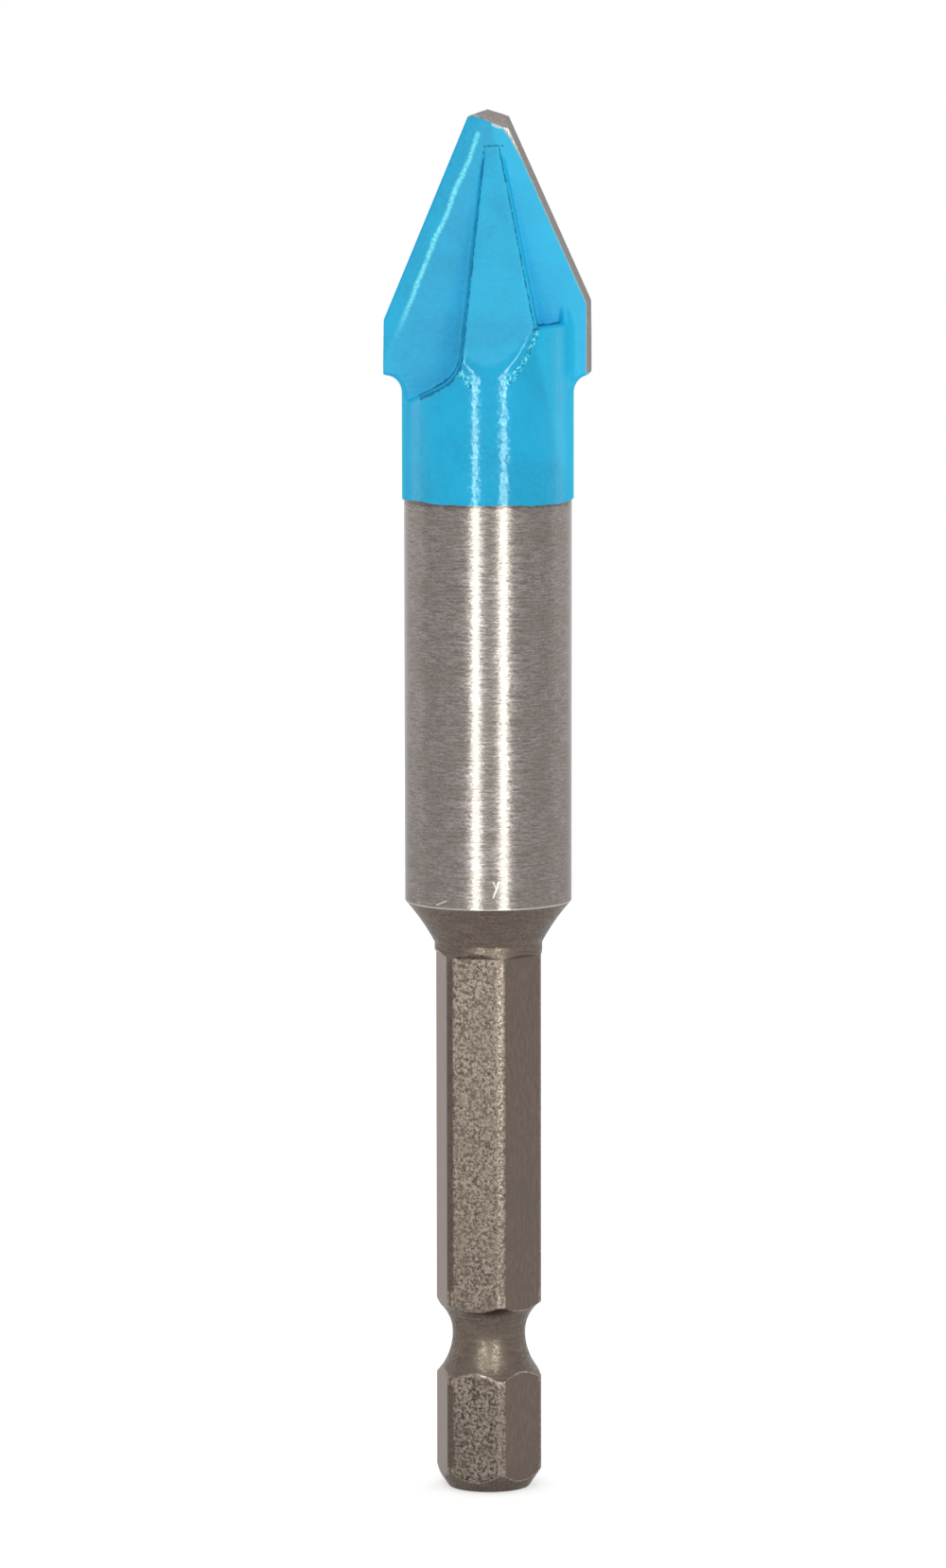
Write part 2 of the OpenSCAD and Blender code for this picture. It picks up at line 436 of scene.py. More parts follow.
def edge_height(angle):
    """Height of the coating's wavy lower edge."""
    wave = 0.10 * np.sin(angle * 2 + 0.6) + 0.06 * np.sin(angle * 5 + 2.1)
    wave += 0.03 * np.sin(angle * 11 + 4)
    wave += 0.03 * np.sin(angle * 23 + 1) * np.sin(angle * 7)
    wave += 0.025 * np.sin(angle * 47) * np.sin(angle * 3)
    return FILM_EDGE + wave


def edge_tool():
    """What lies below the coating's wavy edge."""
    around, reach, foot = 360, 9.0, 50.0
    angle = np.linspace(0, 2 * math.pi, around, endpoint=False)
    points = [(0, 0, FILM_EDGE), (0, 0, foot)]
    faces = []
    for k, (a, top) in enumerate(zip(angle, edge_height(angle))):
        x, y = reach * math.cos(a), reach * math.sin(a)
        points += [(x, y, top), (x, y, foot)]
        i, j = 2 + 2 * k, 2 + 2 * ((k + 1) % around)
        faces += [(0, i, j), (1, j + 1, i + 1), (i, i + 1, j + 1, j)]
    return add_object("tool", mesh_from("tool", points, faces))


def head_core():
    """The head as one solid, from all three CAD nodes."""
    reach, foot, top = 20, 58, 100
    core = welded_copy("steel_shank")
    for node in ("braze_joint", "carbide_tip"):
        cut(core, welded_copy(node), "UNION")
    cut(core, block((-reach, -reach, foot), (reach, reach, top)), "INTERSECT")
    return core


def remeshed(piece, swell=0.0):
    """Rebuilds a piece's surface from voxels, then swells it by a distance."""
    remesh = piece.modifiers.new("remesh", "REMESH")
    remesh.mode, remesh.voxel_size, remesh.use_smooth_shade = "VOXEL", FILM_VOXEL * MM, True
    if swell:
        move = piece.modifiers.new("swell", "DISPLACE")
        move.strength, move.mid_level = swell * MM, 0
    applied(piece)


def grow(core):
    """Swells the core by the coating's thickness and softens its corners."""
    remeshed(core, FILM_T)
    remeshed(core)
    soften = core.modifiers.new("soften", "SMOOTH")
    soften.factor, soften.iterations = 0.5, 2
    applied(core)


def coating_mesh():
    """The coating as a closed film over the head, ground away where the carbide is bare."""
    core = head_core()
    film = add_object("film", core.data.copy())
    for half in HALVES:
        cut(film, pool_tool(half), "UNION")
    grow(film)
    for tool in ground_plane_tools() + [worn_tool(half) for half in HALVES] + [edge_tool()]:
        cut(film, tool)
    cut(film, core)
    mesh = film.data
    bpy.data.objects.remove(film)
    shade(mesh, FILM_SHARP)
    return mesh


# Materials

class Shader:
    """One material's node tree, built with short calls. Numbers in it are millimetres."""

    def __init__(self, name):
        self.material = bpy.data.materials.new(name)
        self.material.use_nodes = True
        self.tree = self.material.node_tree
        self.bsdf = self.tree.nodes["Principled BSDF"]
        place = self.add("ShaderNodeTexCoord").outputs["Object"]
        self.place = self.vector("MULTIPLY", place, (1 / MM,) * 3)
        split = self.add("ShaderNodeSeparateXYZ", self.place)
        self.x, self.y, self.z = split.outputs

    def add(self, kind, *inputs, **settings):
        """A node with its first inputs plugged in order."""
        node = self.tree.nodes.new(kind)
        for key, value in settings.items():
            setattr(node, key, value)
        for slot, value in zip(node.inputs, inputs):
            self.plug(slot, value)
        return node

    def plug(self, slot, value):
        """Links a socket, or sets a plain value."""
        if isinstance(value, bpy.types.NodeSocket):
            self.tree.links.new(value, slot)
        elif value is not None:
            slot.default_value = value

    def math(self, operation, *inputs, clamp=False):
        """One step of arithmetic."""
        return self.add("ShaderNodeMath", *inputs, operation=operation, use_clamp=clamp).outputs[0]

    def vector(self, operation, *inputs):
        """One step with vectors, which gives a vector or a number."""
        node = self.add("ShaderNodeVectorMath", *inputs, operation=operation)
        number = operation in ("DOT_PRODUCT", "DISTANCE")
        return node.outputs["Value" if number else "Vector"]

    def combine(self, x, y, z):
        """A vector from three values."""
        return self.add("ShaderNodeCombineXYZ", x, y, z).outputs[0]

    def chain(self, operation, values):
        """The same step over two or more values."""
        total = values[0]
        for value in values[1:]:
            total = self.math(operation, total, value)
        return total

    def times(self, *values):
        """Product of two or more values."""
        return self.chain("MULTIPLY", values)

    def most(self, *values):
        """The greatest of two or more values."""
        return self.chain("MAXIMUM", values)

    def least(self, *values):
        """The smallest of two or more values."""
        return self.chain("MINIMUM", values)

    def minus(self, a, b):
        """The first value less the second."""
        return self.math("SUBTRACT", a, b)

    def abs(self, value):
        """The value without its sign."""
        return self.math("ABSOLUTE", value)

    def band(self, value, low, high, to_low=0.0, to_high=1.0):
        """The value from low to high, mapped smoothly from to_low to to_high."""
        node = self.add("ShaderNodeMapRange", value, low, high, to_low, to_high,
                        interpolation_type="SMOOTHSTEP")
        return node.outputs[0]

    def within(self, value, low, high, full=1.0):
        """Full where the value is below low, and falling smoothly to nothing at high."""
        return self.band(value, low, high, full, 0.0)

    def mix(self, share, a, b):
        """Two colours mixed."""
        node = self.add("ShaderNodeMix", data_type="RGBA")
        for slot, value in ((0, share), (6, a), (7, b)):
            self.plug(node.inputs[slot], value)
        return node.outputs[2]

    def noise(self, scale, detail=3.0, rough=0.55, stretch=None):
        """Noise with features of 1 / scale millimetres, from 0 to 1 about 0.5."""
        place = self.place
        if stretch is not None:
            place = self.vector("MULTIPLY", place, stretch)
        node = self.add("ShaderNodeTexNoise")
        for key, value in (("Vector", place), ("Scale", scale), ("Detail", detail),
                           ("Roughness", rough)):
            self.plug(node.inputs[key], value)
        return node.outputs[0]

    def jitter(self, value, noise, amount):
        """The value moved either way by a noise."""
        return self.math("MULTIPLY_ADD", self.minus(noise, 0.5), amount, value)

    def tones(self, noise, dark, pale, spread=0.15):
        """A noise painted in two colours, which run into each other over this spread."""
        return self.mix(self.band(noise, 0.5 - spread, 0.5 + spread), dark, pale)

    def clouds(self, colour, look, scale, share):
        """A colour with soft clouds of another look over it."""
        return self.mix(self.band(self.noise(scale), 0.4, 0.65, 0.0, share), colour, look)

    def gap(self, place, a, b):
        """Distance from a segment between two places, each an x and a height."""
        a, b = Vector((a[0], 0, a[1])), Vector((b[0], 0, b[1]))
        away = self.vector("SUBTRACT", place, a)
        along = self.vector("DOT_PRODUCT", away, b - a)
        along = self.math("DIVIDE", along, (b - a).length_squared, clamp=True)
        foot = self.add("ShaderNodeVectorMath", b - a, operation="SCALE")
        self.plug(foot.inputs["Scale"], along)
        return self.vector("DISTANCE", away, foot.outputs["Vector"])

    def bump(self, height, depth, after=None):
        """Relief whose heights from 0 to 1 are this deep."""
        node = self.add("ShaderNodeBump")
        for key, value in (("Height", height), ("Distance", depth * MM), ("Normal", after)):
            self.plug(node.inputs[key], value)
        return node.outputs[0]

    def wrap_tangent(self):
        """Turns the gloss's grain round the bit's axis."""
        node = self.add("ShaderNodeTangent", direction_type="RADIAL", axis="Z")
        self.plug(self.bsdf.inputs["Tangent"], node.outputs[0])

    def set(self, **values):
        """Sets the surface's sockets, named with underscores for spaces."""
        for key, value in values.items():
            self.plug(self.bsdf.inputs[key.replace("_", " ")], value)


def srgb(red, green, blue):
    """A colour written as it looks on a screen, from 0 to 255."""
    def linear(c):
        c = c / 255
        return c / 12.92 if c <= 0.04045 else ((c + 0.055) / 1.055) ** 2.4
    return (linear(red), linear(green), linear(blue), 1.0)


def out_from_axis(place):
    """Direction out from the axis, this far round from the middle of the front flat."""
    return Vector((cos(place - 90 - HEX_TURN), sin(place - 90 - HEX_TURN), 0.0))


def ground_steel():
    """Body: fine ground round its axis, with a few scratches, darker smudges, painted shade just
    below the coating's edge and a painted highlight along its lower rim.
    """
    dark, pale, smudge = srgb(104, 96, 93), srgb(143, 135, 132), srgb(110, 106, 98)
    scratched, coat_edge_shade, edge_highlight = srgb(214, 208, 198), srgb(72, 66, 62), srgb(205, 200, 192)
    s = Shader("ground_steel")
    lines = s.noise(9.0, 2, 0.6, stretch=RINGED)
    fine = s.noise(9.0, 3, 0.65, stretch=(0.5, 0.5, 1.3))
    cloud = s.noise(0.45, 4, 0.6, stretch=(1.0, 1.0, 1.6))
    jag = s.noise(3.2, 3, 0.65, stretch=(0.7, 0.7, 2.2))
    tone = s.math("ADD", s.times(lines, 0.45), s.times(fine, 0.55))
    colour = s.tones(tone, dark, pale)
    colour = s.mix(s.band(cloud, 0.42, 0.62, 0.0, 0.4), colour, smudge)
    front = s.math("LESS_THAN", s.y, 0.0)
    flat = s.combine(s.x, 0.0, s.z)
    for start, stop, half in SCRATCHES:
        scratch = s.within(s.gap(flat, start, stop), half * 0.5, half * 1.5, 0.7)
        colour = s.mix(s.times(front, scratch), colour, scratched)
    # painted shade: a dark band just below the coating's edge
    edge = s.jitter(s.z, s.noise(3.0, 3, 0.6), 0.7)
    colour = s.mix(s.band(edge, FILM_EDGE - 0.35, FILM_EDGE - 0.1, 0.0, 0.6), colour, coat_edge_shade)
    # painted highlight along the body's lower rim
    colour = s.mix(s.within(s.z, BODY_START - 0.04, BODY_START + 0.1, 0.7), colour, edge_highlight)
    s.set(Base_Color=colour, Metallic=1.0, Roughness=s.band(tone, 0.3, 0.7, 0.12, 0.25),
          Specular_Tint=(0.7, 0.7, 0.7, 1), Anisotropic=0.5,
          Normal=s.bump(jag, 0.014, s.bump(tone, 0.012)))
    s.wrap_tangent()
    return s.material


def blasted_steel():
    """The front face of the hexagon: a coarse blasted grain that sparkles, with painted shade
    darkening it towards its foot.
    """
    dark, pale, cloudy = srgb(77, 65, 58), srgb(132, 120, 111), srgb(104, 95, 86)
    low_dark, low_pale, foot = srgb(58, 49, 44), srgb(150, 138, 128), srgb(66, 58, 52)
    s = Shader("blasted_steel")
    grain = s.noise(4.5, 3, 0.75)
    colour = s.tones(grain, dark, pale, 0.12)
    low = s.tones(grain, low_dark, low_pale, 0.08)
    colour = s.mix(s.within(s.z, 6.0, 13.0, 0.7), colour, low)
    colour = s.clouds(colour, cloudy, 0.6, 0.4)
    # painted shade: the face drawn darker towards its foot
    colour = s.mix(s.within(s.z, 3.0, 16.0, 0.3), colour, foot)
    s.set(Base_Color=colour, Metallic=1.0, Roughness=0.28, Specular_Tint=(0.85, 0.85, 0.85, 1),
          Anisotropic=0.5, Normal=s.bump(grain, 0.045))
    s.wrap_tangent()
    return s.material


def drawn_steel():
    """The other faces of the hexagon: dark and fairly smooth, with faint streaks along them."""
    dark, pale, cloudy = srgb(98, 86, 79), srgb(107, 95, 88), srgb(98, 89, 80)
    s = Shader("drawn_steel")
    streak = s.noise(5.0, 3, 0.6, stretch=(1.0, 1.0, 0.3))
    colour = s.clouds(s.tones(streak, dark, pale), cloudy, 0.6, 0.5)
    s.set(Base_Color=colour, Metallic=1.0, Roughness=0.3, Specular_Tint=(0.9, 0.85, 0.83, 1),
          Normal=s.bump(streak, 0.01))
    return s.material


def turned_steel():
    """Shoulder, groove, chamfer and corners: dark, with turning rings and a sparkling grain, a
    painted highlight on the right corner and on the edges, and painted shade on the left corner.
    """
    dark, pale, cloudy = srgb(88, 77, 69), srgb(110, 98, 90), srgb(94, 88, 78)
    corner_highlight, corner_shade, edge_highlight = srgb(136, 124, 115), srgb(78, 69, 63), srgb(158, 146, 136)
    s = Shader("turned_steel")
    rings = s.noise(7.0, 2, 0.6, stretch=RINGED)
    grain = s.noise(5.0, 3, 0.7)
    tone = s.math("ADD", s.times(rings, 0.4), s.times(grain, 0.6))
    colour = s.clouds(s.tones(tone, dark, pale, 0.12), cloudy, 0.7, 0.5)
    across = s.combine(s.x, s.y, 0.0)
    flats = s.within(s.z, FLATS_END - 0.5, FLATS_END)
    # painted highlight on the front flat's right corner, painted shade on its left corner
    for place, look in ((30, corner_highlight), (-30, corner_shade)):
        corner = s.vector("DOT_PRODUCT", across, out_from_axis(place))
        corner = s.band(corner, CORNER_R - 0.14, CORNER_R - 0.06)
        colour = s.mix(s.times(corner, s.band(grain, 0.42, 0.58), flats), colour, look)

    # painted highlights on the edges where the flats end, at the chamfer and on both sides of the
    # groove
    edge = 0.0
    for place in (0, 60, 120):
        out = s.abs(s.vector("DOT_PRODUCT", across, out_from_axis(place)))
        edge = s.most(edge, s.band(s.jitter(out, grain, 0.1), HEX_R - 0.12, HEX_R - 0.02))
    groove = s.within(s.abs(s.minus(s.z, GROOVE_POS)), 2.9, 3.2)
    edge = s.times(edge, s.most(s.within(s.z, 1.4, 1.7), groove),
                   s.band(grain, 0.4, 0.55, 0.2, 0.8))
    s.set(Base_Color=s.mix(edge, colour, edge_highlight), Metallic=1.0,
          Roughness=s.band(grain, 0.35, 0.65, 0.42, 0.24), Specular_Tint=(0.8, 0.8, 0.8, 1),
          Anisotropic=0.5, Normal=s.bump(tone, 0.02))
    s.wrap_tangent()
    return s.material


def bare_carbide():
    """Ground carbide: grey, with fine streaks along the ground faces, rougher by the coating."""
    dark, pale, warm = srgb(136, 131, 129), srgb(180, 176, 174), srgb(160, 146, 138)
    s = Shader("bare_carbide")
    streak = s.noise(6.0, 3, 0.6, stretch=(1.6, 1.6, 0.35))
    broad = s.noise(2.0, 2, 0.5, stretch=(1.6, 1.6, 0.25))
    colour = s.tones(streak, dark, pale)
    colour = s.mix(s.band(broad, 0.4, 0.6, 0.0, 0.5), colour, warm)
    x = s.times(s.x, s.math("SIGN", s.times(s.y, -1.0)))
    face = s.times(s.band(s.abs(s.y), 0.95, 1.1), s.band(x, -0.3, 0.5, 0.38, 0.12))
    s.set(Base_Color=colour, Metallic=1.0, Roughness=s.math("ADD", face, 0.42),
          Specular_Tint=(0.3, 0.3, 0.3, 1), Normal=s.bump(streak, 0.008))
    return s.material


def braze_alloy():
    """Dull braze, under the coating."""
    s = Shader("braze_alloy")
    grain = s.noise(4.0, 3, 0.6)
    s.set(Base_Color=s.tones(grain, srgb(128, 104, 58), srgb(166, 140, 84)), Metallic=1.0,
          Roughness=0.5, Normal=s.bump(grain, 0.02))
    return s.material


def rib_lead_x(z):
    """Side of the front rib towards the cutting edge."""
    return RIB_END_SHIFT - RIB_END_W / 2 - (RIB_END - z) * tan(RIB_LEAD_ANGLE)


def rib_trail_x(z):
    """Other side of the front rib."""
    return RIB_END_SHIFT + RIB_END_W / 2 + (RIB_END - z) * tan(RIB_TRAIL_ANGLE)


def seam_lines():
    """Where the coating dips along the front rib: dark joint lines, which reach up the rib's walls
    at the bend, fall and trailing side as painted shade.

    Each line is its start, its end, its half width and how far off the plate's face it reaches.
    """
    lead_in, trail_in = 0.07, 0.04
    near, far, end_reach, step_reach = 0.45, 9.0, 0.6, 0.1
    straight_len, fall_len, step_len, steps = 6, 1.3, 1.85, 4

    def lead(z):
        return Vector((rib_lead_x(z) - lead_in, z))

    def trail(z):
        return Vector((rib_trail_x(z) - trail_in, z))

    top, mid, step = RIB_END + FILM_T, LEAD_BEND + straight_len, TRAIL_STEP + FILM_T
    centre = Vector((rib_lead_x(LEAD_BEND), LEAD_BEND))
    centre += LEAD_BEND_R * Vector((-cos(RIB_LEAD_ANGLE), sin(RIB_LEAD_ANGLE)))
    arc = []
    for k in range(steps + 1):
        a = RIB_LEAD_ANGLE + (90 - LEAD_FALL - RIB_LEAD_ANGLE) * k / steps
        arc.append(centre + (LEAD_BEND_R - lead_in) * Vector((cos(a), -sin(a))))
    fall = arc[-1] + fall_len * Vector((-cos(LEAD_FALL), -sin(LEAD_FALL)))
    right = trail(step) + step_len * Vector((cos(TRAIL_RISE), sin(TRAIL_RISE)))
    lines = [(lead(top), lead(mid), 0.06, near), (lead(mid), arc[0], 0.08, near)]
    for k, (a, b) in enumerate(zip(arc, arc[1:])):
        lines.append((a, b, 0.08 + 0.02 * k, far if k > 1 else near))
    lines += [
        (arc[-1], fall, 0.13, far),
        (lead(top), trail(top) + Vector((0.3, 0.03)), 0.06, end_reach),
        (trail(top), trail(step), 0.04, far),
        (trail(step), right, 0.12, step_reach),
    ]
    return lines


class CoatingShader(Shader):
    """The coating's node tree, with the places that set out its seams with their painted shade, its
    painted highlights and its ground-through rim.

    At the back, x and y are turned half round, so all of them repeat there. Rise is how far a
    point stands off the plate's coated face, run is how far it lies outside the coated body, and
    slope is how far it lies behind a plane just under the front rib's face.
    """

    def __init__(self):
        super().__init__("blue_coating")
        side = self.math("SIGN", self.times(self.y, -1.0))
        self.x, self.y = self.times(self.x, side), self.times(self.y, side)
        self.ragged = self.noise(4.5, 2, 0.6)
        self.flat = self.combine(self.jitter(self.x, self.noise(2.2, 3, 0.6), 0.1), 0.0, self.z)
        self.rise = self.minus(self.times(self.y, -1.0), PLATE_FACE + FILM_T)
        radius = self.math("ADD", self.times(self.x, self.x), self.times(self.y, self.y))
        self.run = self.minus(self.math("SQRT", radius), BODY_R + FILM_T)
        below = self.minus(RIB_END, self.z)
        slope = self.math("MULTIPLY_ADD", below, tan(RIB_FACE_ANGLE), PLATE_FACE)
        slope = self.minus(slope, FILM_T / cos(RIB_FACE_ANGLE))
        self.slope = self.math("ADD", slope, self.y)

    def seam(self):
        """Dark joint lines along the front rib, the flute's bend and the step, with painted shade on
        the rib's walls, paler inside the flute.
        """
        swell = self.band(self.noise(1.6, 3, 0.7), 0.36, 0.62, 0.4, 1.4)
        front = self.within(self.abs(self.slope), 0.2, 0.4)
        seam = 0.0
        for start, stop, half, reach in seam_lines():
            gap = self.jitter(self.gap(self.flat, start, stop), self.ragged, -0.16)
            line = self.within(self.math("DIVIDE", gap, swell), half * 0.6, half * 1.3)
            near = self.most(self.within(self.rise, reach, reach + 0.2), front)
            seam = self.most(seam, self.times(line, near))
        height = self.jitter(self.z, self.ragged, 0.8)
        fade = self.times(
            self.band(self.rise, 0.1, 0.6), self.within(self.run, -0.6, -0.15),
            self.minus(1.0, front), self.band(height, LEAD_BEND - 2.4, LEAD_BEND - 0.6, 0.4, 0.9))
        return self.times(seam, self.minus(1.0, fade))

    def ridge(self):
        """A painted highlight along the top of the land, which fades out down the plate's side."""
        def land(z):
            return (LAND_W / cos(LEFT_FLANK) - (FLANKS_MEET - z) * tan(LEFT_FLANK), z)

        top, bend = land(OVERALL_LEN - 1.5), land(PLATE_SHOULDER)
        foot = (0.2 - PLATE_HALF_W, PLATE_SHOULDER - 2.6)
        drift = self.jitter(self.x, self.noise(0.3, 1, 0.5), 0.7)
        drift = self.jitter(drift, self.noise(2.2, 2, 0.6), 0.15)
        place = self.combine(drift, 0.0, self.z)
        ridge = self.least(self.gap(place, top, bend), self.gap(place, bend, foot))
        ridge = self.within(self.jitter(ridge, self.ragged, -0.16), 0.02, 0.24)
        return self.times(ridge, self.band(self.z, PLATE_SHOULDER - 2.4, PLATE_SHOULDER + 1.5))

    def arch(self):
        """A line where each rib runs out into the body, for painted highlight specks and dark pits.
        """
        return self.times(self.within(self.abs(self.math("ADD", self.run, 0.04)), 0.05, 0.12),
                          self.within(self.abs(self.slope), 0.05, 0.13),
                          self.band(self.abs(self.x), 0.6, 1.2))

    def ground_rim(self):
        """A thin rim beside the bare carbide, where the coating was ground through."""
        edge = [(x, OVERALL_LEN - drop) for x, drop in WORN_EDGE]
        rim = self.least(*[self.gap(self.flat, a, b) for a, b in zip(edge, edge[1:])])
        rim = self.within(self.jitter(rim, self.ragged, 0.12), 0.02, 0.09)
        rim = self.times(rim, self.band(self.x, 0.2, 0.6))
        faces = ((RIGHT_FLANK, 0.0, FLANKS_MEET), (0.0, PLATE_HALF_W, PLATE_SHOULDER))
        for lean, x, z in faces:
            normal = turn("Y", -lean) @ turn("Z", 180 - RELIEF_ANGLE) @ Vector((1, 0, 0))
            away = self.vector("SUBTRACT", self.combine(self.x, self.y, self.z),
                               Vector((x, PLATE_FACE, z)))
            away = self.jitter(self.vector("DOT_PRODUCT", away, normal), self.ragged, 0.06)
            rim = self.most(rim, self.within(self.abs(away), 0.02, 0.07, 0.8))
        return self.times(rim, self.band(self.x, 0.1, 0.4))

    def bare_patch(self):
        """A pale patch where the coating has worn through at the tip."""
        start, stop = [(x, OVERALL_LEN - drop) for x, drop in WORN_PATCH]
        patch = self.jitter(self.gap(self.flat, start, stop), self.ragged, 0.2)
        return self.within(patch, 0.06, 0.16)

    def behind_rib(self):
        """The side of the head behind the front rib, which catches more light."""
        edge = self.times(self.minus(OVERALL_LEN, self.z), 0.2)
        side = self.band(self.minus(self.x, edge), -0.2, 0.4)
        return self.times(side, self.band(self.abs(self.y), 0.1, 1.5), 0.45)

    def gloss(self, grain, seam):
        """Roughness: wet on the body under the ribs, dull at grazing angles and in the seams and
        their painted shade.
        """
        facing = self.add("ShaderNodeLayerWeight", 0.5).outputs["Facing"]
        height = self.jitter(self.z, grain, 1.5)
        wet = self.times(self.within(self.abs(self.run), 0.05, 0.35),
                         self.band(self.rise, 0.1, 0.5),
                         self.within(height, LEAD_BEND, LEAD_BEND + 2.5))
        return self.most(self.math("MULTIPLY_ADD", wet, -0.38, 0.5),
                         self.band(facing, 0.3, 0.7, 0.0, 0.8), self.times(seam, 0.7))


def blue_coating():
    """Satin dip coating: speckled painted highlights, dark seams with painted shade round the ribs,
    pale where ground through.
    """
    dark, pale, grainy = srgb(0, 161, 207), srgb(0, 174, 221), srgb(0, 184, 230)
    specked, lit, highlight_blue = srgb(0, 150, 198), srgb(14, 200, 246), srgb(124, 242, 255)
    seam_shade_blue, thin, bare = srgb(0, 102, 150), srgb(172, 190, 184), srgb(208, 216, 220)
    s = CoatingShader()
    grain = s.noise(3.2, 3, 0.6)
    seam, arch = s.seam(), s.arch()
    speck = s.noise(5.0, 2, 0.7)
    # painted highlights: bright specks along the land's ridge and the ribs' arches
    painted_highlight = s.most(s.times(s.ridge(), s.band(speck, 0.36, 0.62, 0.45, 1.0)),
                   s.times(arch, s.band(speck, 0.5, 0.62)))
    pits = s.times(arch, s.within(speck, 0.38, 0.46))

    blue = s.tones(s.noise(0.35, 3, 0.5), dark, pale)
    blue = s.mix(s.band(grain, 0.35, 0.65, 0.0, 0.35), blue, grainy)
    blue = s.mix(s.band(s.noise(9.0, 2, 0.5), 0.6, 0.75, 0.0, 0.3), blue, specked)
    blue = s.mix(s.behind_rib(), blue, lit)
    blue = s.mix(painted_highlight, blue, highlight_blue)
    # dark joint lines along the ribs with painted shade on their walls, and dark pits along the
    # arches
    blue = s.mix(s.times(s.most(seam, pits), 0.95), blue, seam_shade_blue)
    blue = s.mix(s.times(s.ground_rim(), 0.7), blue, thin)
    blue = s.mix(s.times(s.bare_patch(), 0.8), blue, bare)

    swells = s.noise(1.8, 2, 0.6, stretch=(1.0, 1.0, 2.0))
    height = s.minus(s.math("MULTIPLY_ADD", grain, 0.3, swells), s.times(seam, 0.4))
    s.set(Base_Color=blue, Metallic=0.0, Roughness=s.gloss(grain, seam), IOR=1.44,
          Specular_Tint=(0.75, 1.0, 1.0, 1), Normal=s.bump(height, 0.03),
          Sheen_Weight=0.6, Sheen_Roughness=0.4, Sheen_Tint=(0.02, 0.7, 1.0, 1))
    return s.material


# Pieces

def finish_at(point):
    """Which finish the steel has at a point."""
    edge, slack, half_flat = 0.06, 0.01, 30
    if point.z > BODY_START - edge:
        return GROUND
    turned = float(turned_radius(np.array([point.z]))[0])
    if math.hypot(point.x, point.y) > turned - slack:
        return TURNED
    off = (math.degrees(math.atan2(point.y, point.x)) + 90 + HEX_TURN) % 360
    return BLASTED if min(off, 360 - off) < half_flat else DRAWN


shank = add_object("shank", shank_mesh())
for make in (ground_steel, blasted_steel, turned_steel, drawn_steel):
    shank.data.materials.append(make())
for face in shank.data.polygons:
    face.material_index = finish_at(face.center / MM)
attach(shank, "root")
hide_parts("steel_shank")

coating = add_object("coating", coating_mesh())
coating.data.materials.clear()
coating.data.materials.append(blue_coating())
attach(coating, "root")

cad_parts["carbide_tip"].material_slots[0].material = bare_carbide()
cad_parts["braze_joint"].material_slots[0].material = braze_alloy()


# Stage, light and camera

def background_rays(tree):
    """1 for the rays that see the white background: camera, glossy and transmission rays."""
    path = tree.nodes.new("ShaderNodeLightPath")
    total = path.outputs["Is Camera Ray"]
    for name in ("Is Glossy Ray", "Is Transmission Ray"):
        step = tree.nodes.new("ShaderNodeMath")
        step.operation = "MAXIMUM"
        tree.links.new(total, step.inputs[0])
        tree.links.new(path.outputs[name], step.inputs[1])
        total = step.outputs[0]
    return total


def ranged(tree, share, low, high):
    """A value that runs from low to high as the share goes from 0 to 1."""
    step = tree.nodes.new("ShaderNodeMapRange")
    tree.links.new(share, step.inputs["Value"])
    step.inputs["To Min"].default_value, step.inputs["To Max"].default_value = low, high
    return step.outputs[0]


def make_world():
    """White to the camera and to reflections, a plain level to everything else."""
    world = bpy.data.worlds.new("studio")
    world.use_nodes = True
    bpy.context.scene.world = world
    tree = world.node_tree
    back = tree.nodes["Background"]
    back.inputs["Color"].default_value = (1, 1, 1, 1)
    level = ranged(tree, background_rays(tree), DIFFUSE_LEVEL, 1.0)
    tree.links.new(level, back.inputs["Strength"])


def make_floor():
    """A wide white floor that keeps the bit's contact shadow."""
    bpy.ops.mesh.primitive_circle_add(vertices=FLOOR_SIDES, radius=FLOOR_R, fill_type="NGON")
    floor = bpy.context.object
    floor.name = "floor"
    material = bpy.data.materials.new("floor_white")
    material.use_nodes = True
    tree = material.node_tree
    shader = tree.nodes["Principled BSDF"]
    shader.inputs["Base Color"].default_value = (FLOOR_LEVEL, FLOOR_LEVEL, FLOOR_LEVEL, 1)
    shader.inputs["Roughness"].default_value = 1.0
    shader.inputs["Specular IOR Level"].default_value = 0.0
    shader.inputs["Emission Color"].default_value = (1, 1, 1, 1)
    glow = ranged(tree, background_rays(tree), 0.0, FLOOR_GLOW)
    tree.links.new(glow, shader.inputs["Emission Strength"])
    floor.data.materials.append(material)


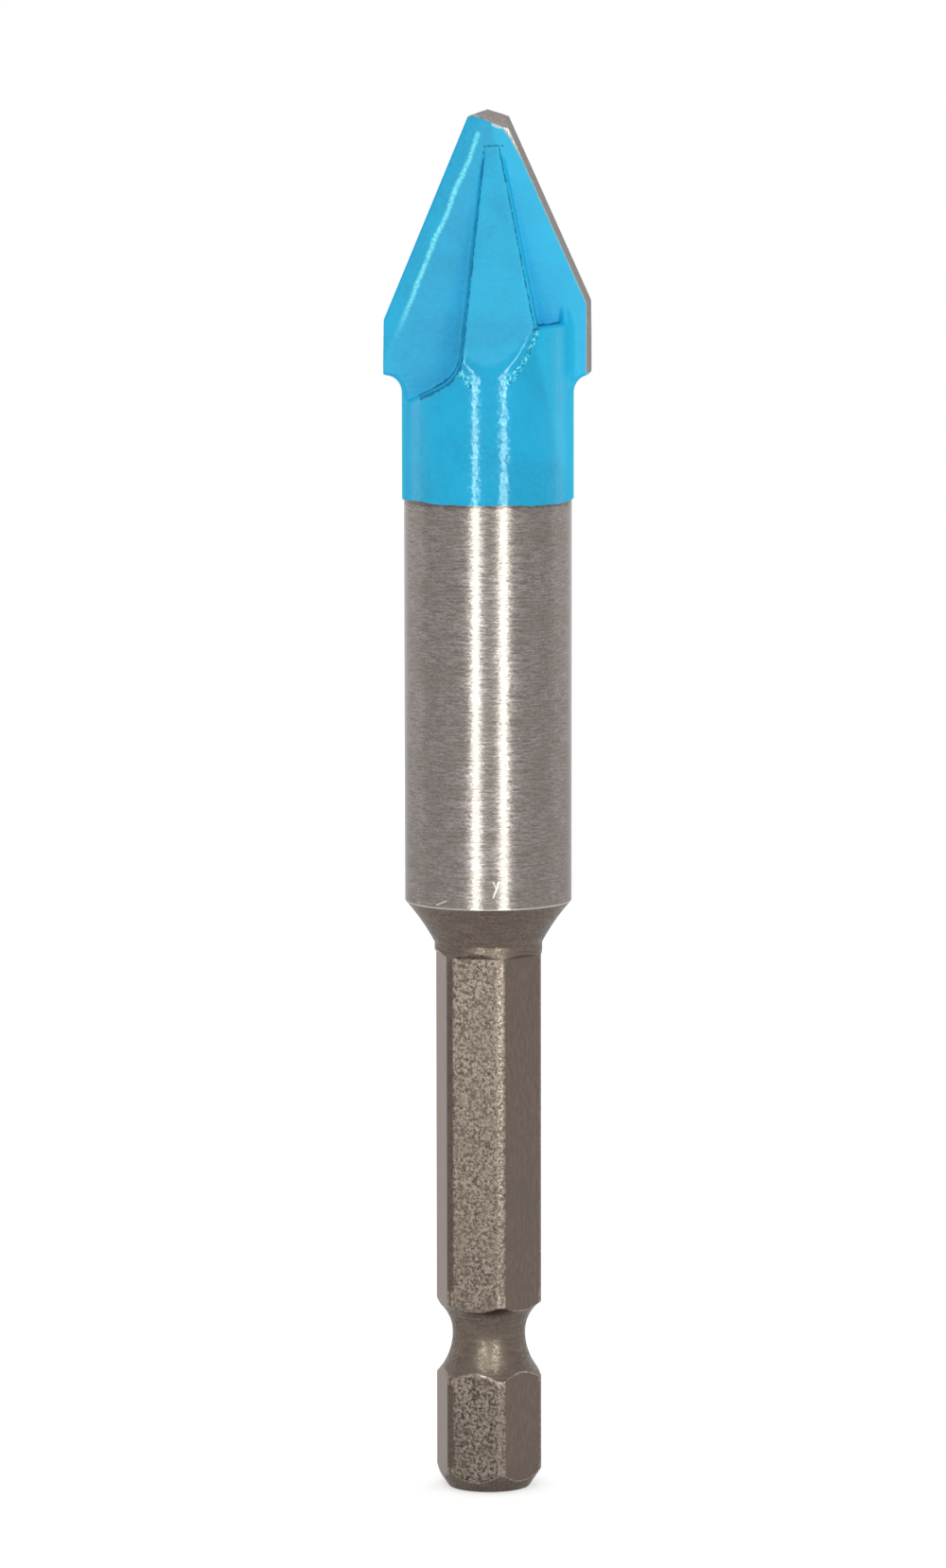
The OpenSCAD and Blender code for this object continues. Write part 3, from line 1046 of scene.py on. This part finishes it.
def make_light(name, width, height, radiance, place, aim):
    """A rectangular light of this radiance, in millimetres, turned to what it lights."""
    light = bpy.data.lights.new(name, "AREA")
    light.shape, light.size, light.size_y = "RECTANGLE", width * MM, height * MM
    light.energy = radiance * math.pi * width * height * MM * MM
    lamp = add_object(name, light)
    lamp.location = Vector(place) * MM
    lamp.rotation_euler = (Vector(aim) - Vector(place)).to_track_quat("-Z", "Y").to_euler()
    lamp.visible_camera = False
    return lamp


def make_lights():
    """Two tall strips that gleam on the metal, soft sides, and a fill from the front."""
    for azimuth in STRIP_AZIMUTHS:
        place = (STRIP_DISTANCE * sin(azimuth), -STRIP_DISTANCE * cos(azimuth), STRIP_H / 2)
        strip = make_light("strip", STRIP_W, STRIP_H, STRIP_RADIANCE, place, (0, 0, STRIP_H / 2))
        strip.visible_diffuse = False
        strip.data.color = STRIP_TINT
    for azimuth in (-SIDE_AZIMUTH, SIDE_AZIMUTH):
        place = (SIDE_DISTANCE * sin(azimuth), -SIDE_DISTANCE * cos(azimuth), SIDE_SIZE / 2)
        make_light("side", SIDE_SIZE, SIDE_SIZE, SIDE_RADIANCE, place, (0, 0, SIDE_SIZE / 2))
    fill = make_light("fill", FILL_SIZE, FILL_SIZE, FILL_RADIANCE,
                      (0, -FILL_DISTANCE, FILL_HEIGHT), (0, 0, FILL_AIM))
    fill.visible_glossy = False


def make_camera():
    """The photograph's view: level with the middle of the bit and slightly above it."""
    camera = bpy.data.cameras.new("camera")
    camera.sensor_width = SENSOR
    camera.lens = SENSOR * CAMERA_DISTANCE / FRAME_HEIGHT
    camera.clip_start, camera.clip_end = CAMERA_CLIP
    view = add_object("camera", camera)
    back = Vector((0, -cos(CAMERA_ELEVATION), sin(CAMERA_ELEVATION)))
    view.location = (Vector(CAMERA_TARGET) + CAMERA_DISTANCE * back) * MM
    roll = Matrix.Rotation(math.radians(CAMERA_ROLL), 4, back)
    level = (-back).to_track_quat("-Z", "Y").to_matrix().to_4x4()
    view.rotation_euler = (roll @ level).to_euler()
    bpy.context.scene.camera = view


make_world()
make_floor()
make_lights()
make_camera()
bpy.context.scene.view_settings.view_transform = "Standard"

bpy.context.view_layer.update()
